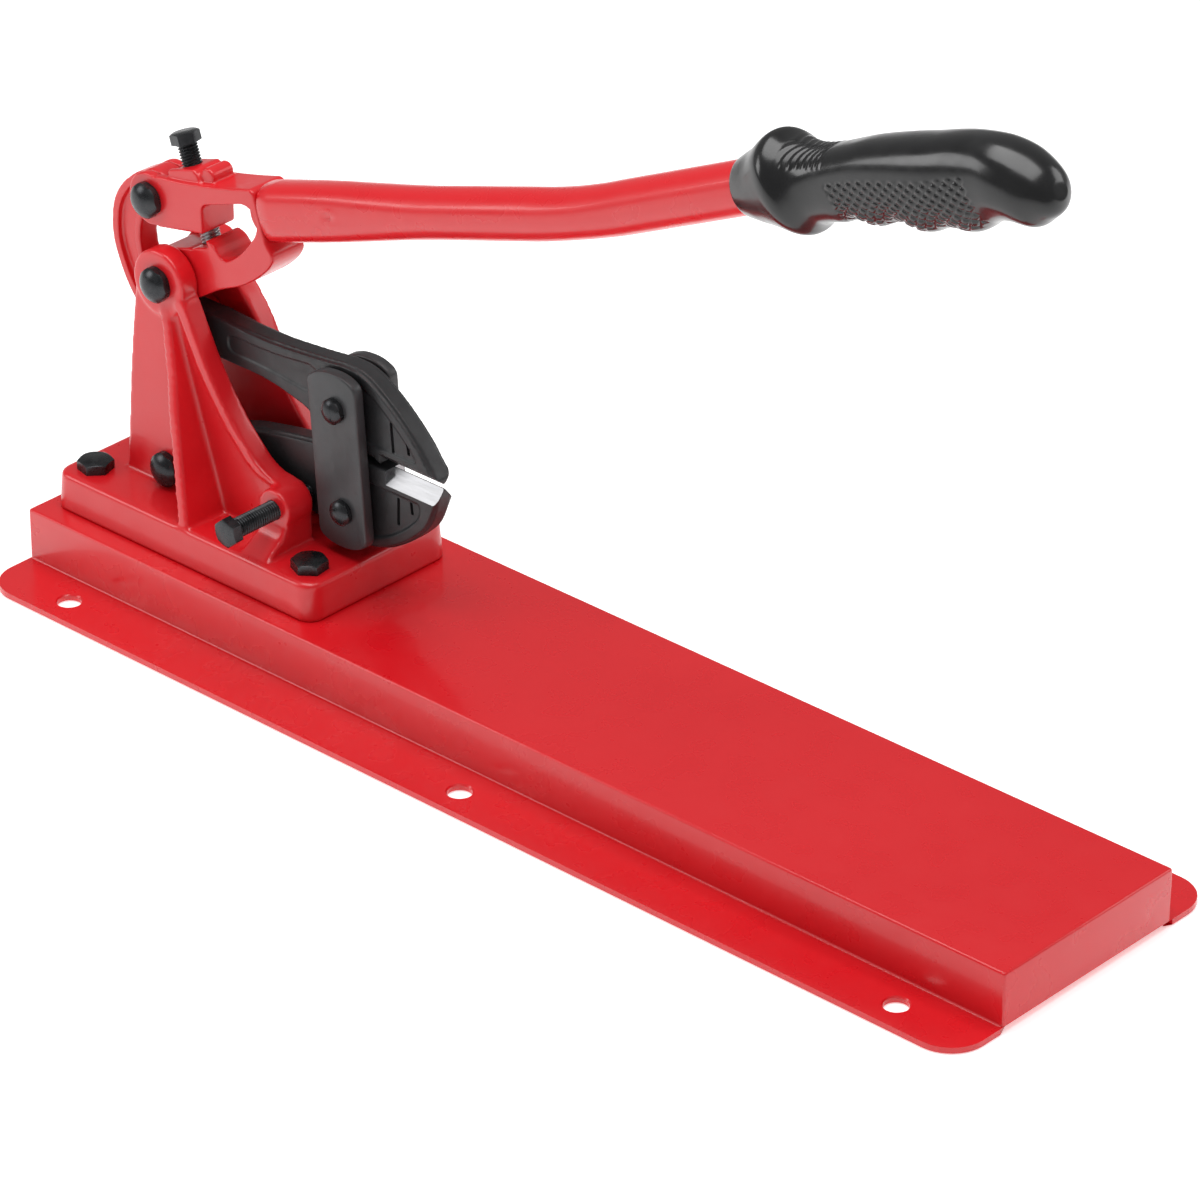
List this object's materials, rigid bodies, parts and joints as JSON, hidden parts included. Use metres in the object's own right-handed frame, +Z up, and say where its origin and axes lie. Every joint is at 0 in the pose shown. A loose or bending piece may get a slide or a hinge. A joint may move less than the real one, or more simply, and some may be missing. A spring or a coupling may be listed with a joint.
{
  "type": "bench-mounted bolt cutter",
  "caption": "Lever-operated bolt cutter on a cast stand and a folded steel base: a long handle shuts a pair of forged jaws through a curved toggle link.",
  "frame": {"origin": "middle of the base plate's underside, where it rests on the bench", "axes": "+X along the base, from the cutter stand towards the end of the lever's grip; +Y across the base, away from the clamp screw's head; +Z up"},
  "size_m": [0.62, 0.182, 0.3891],
  "materials": {
    "red_paint": "gloss enamel over cast and folded steel",
    "black_forging": "satin black coating on forged steel, ground bright along the cutting edge",
    "black_strap": "satin black coating on flat steel",
    "black_fastener": "black oxide",
    "plain_steel": "zinc-plated steel",
    "black_grip": "gloss moulded plastic with a cross-hatched panel on each side"
  },
  "bodies": {
    "stand": {"base_plate": "red_paint", "stand_casting": "red_paint", "base_bolts": "black_fastener", "base_washers": "plain_steel", "base_nuts": "plain_steel", "lever_pivot_bolt": "black_fastener", "lever_pivot_nut": "black_fastener", "lower_jaw": "black_forging", "lower_jaw_bolt": "black_fastener", "lower_jaw_nut": "black_fastener", "strap_bolt_lower": "black_fastener", "strap_nut_lower": "black_fastener"},
    "lever": {"lever_head": "red_paint", "lever_tube": "red_paint", "grip": "black_grip", "link_bolt": "black_fastener", "link_nut": "black_fastener"},
    "adjuster": {"adjusting_screw": "black_fastener"},
    "clamp": {"clamp_screw": "black_fastener"},
    "link": {"link": "red_paint", "link_pin": "plain_steel"},
    "straps": {"strap_front": "black_strap", "strap_back": "black_strap", "strap_bolt_upper": "black_fastener", "strap_nut_upper": "black_fastener"},
    "upper_jaw": {"upper_jaw": "black_forging"}
  },
  "joints": [
    {"name": "lever_pivot", "type": "hinge", "parent": "stand", "child": "lever", "pos_m": [-0.2495, 0, 0.161], "axis": [0, 1, 0], "range_deg": [-60, 0]},
    {"name": "link_pivot", "type": "hinge", "parent": "lever", "child": "link", "pos_m": [-0.266, 0, 0.1965], "axis": [0, 1, 0], "range_deg": [0, 39.7]},
    {"name": "strap_pivot", "type": "hinge", "parent": "stand", "child": "straps", "pos_m": [-0.1345, 0, 0.0758], "axis": [0, 1, 0], "range_deg": [-5.3, 0]},
    {"name": "jaw_pivot", "type": "hinge", "parent": "straps", "child": "upper_jaw", "pos_m": [-0.13849, 0, 0.12885], "axis": [0, 1, 0], "range_deg": [-5.3, 0]},
    {"name": "adjuster_turn", "type": "hinge", "parent": "lever", "child": "adjuster", "pos_m": [-0.246, 0, 0.2169], "axis": [-0.309, 0, 0.9511], "range_deg": [-180, 180]},
    {"name": "clamp_turn", "type": "hinge", "parent": "stand", "child": "clamp", "pos_m": [-0.1665, 0, 0.071], "axis": [0, -1, 0], "range_deg": [-180, 180]}
  ],
  "couplings": [
    {"joint": "link_pivot", "follows": "lever_pivot", "ratio": -0.66},
    {"joint": "strap_pivot", "follows": "lever_pivot", "ratio": 0.088},
    {"joint": "jaw_pivot", "follows": "lever_pivot", "ratio": 0.088}
  ]
}
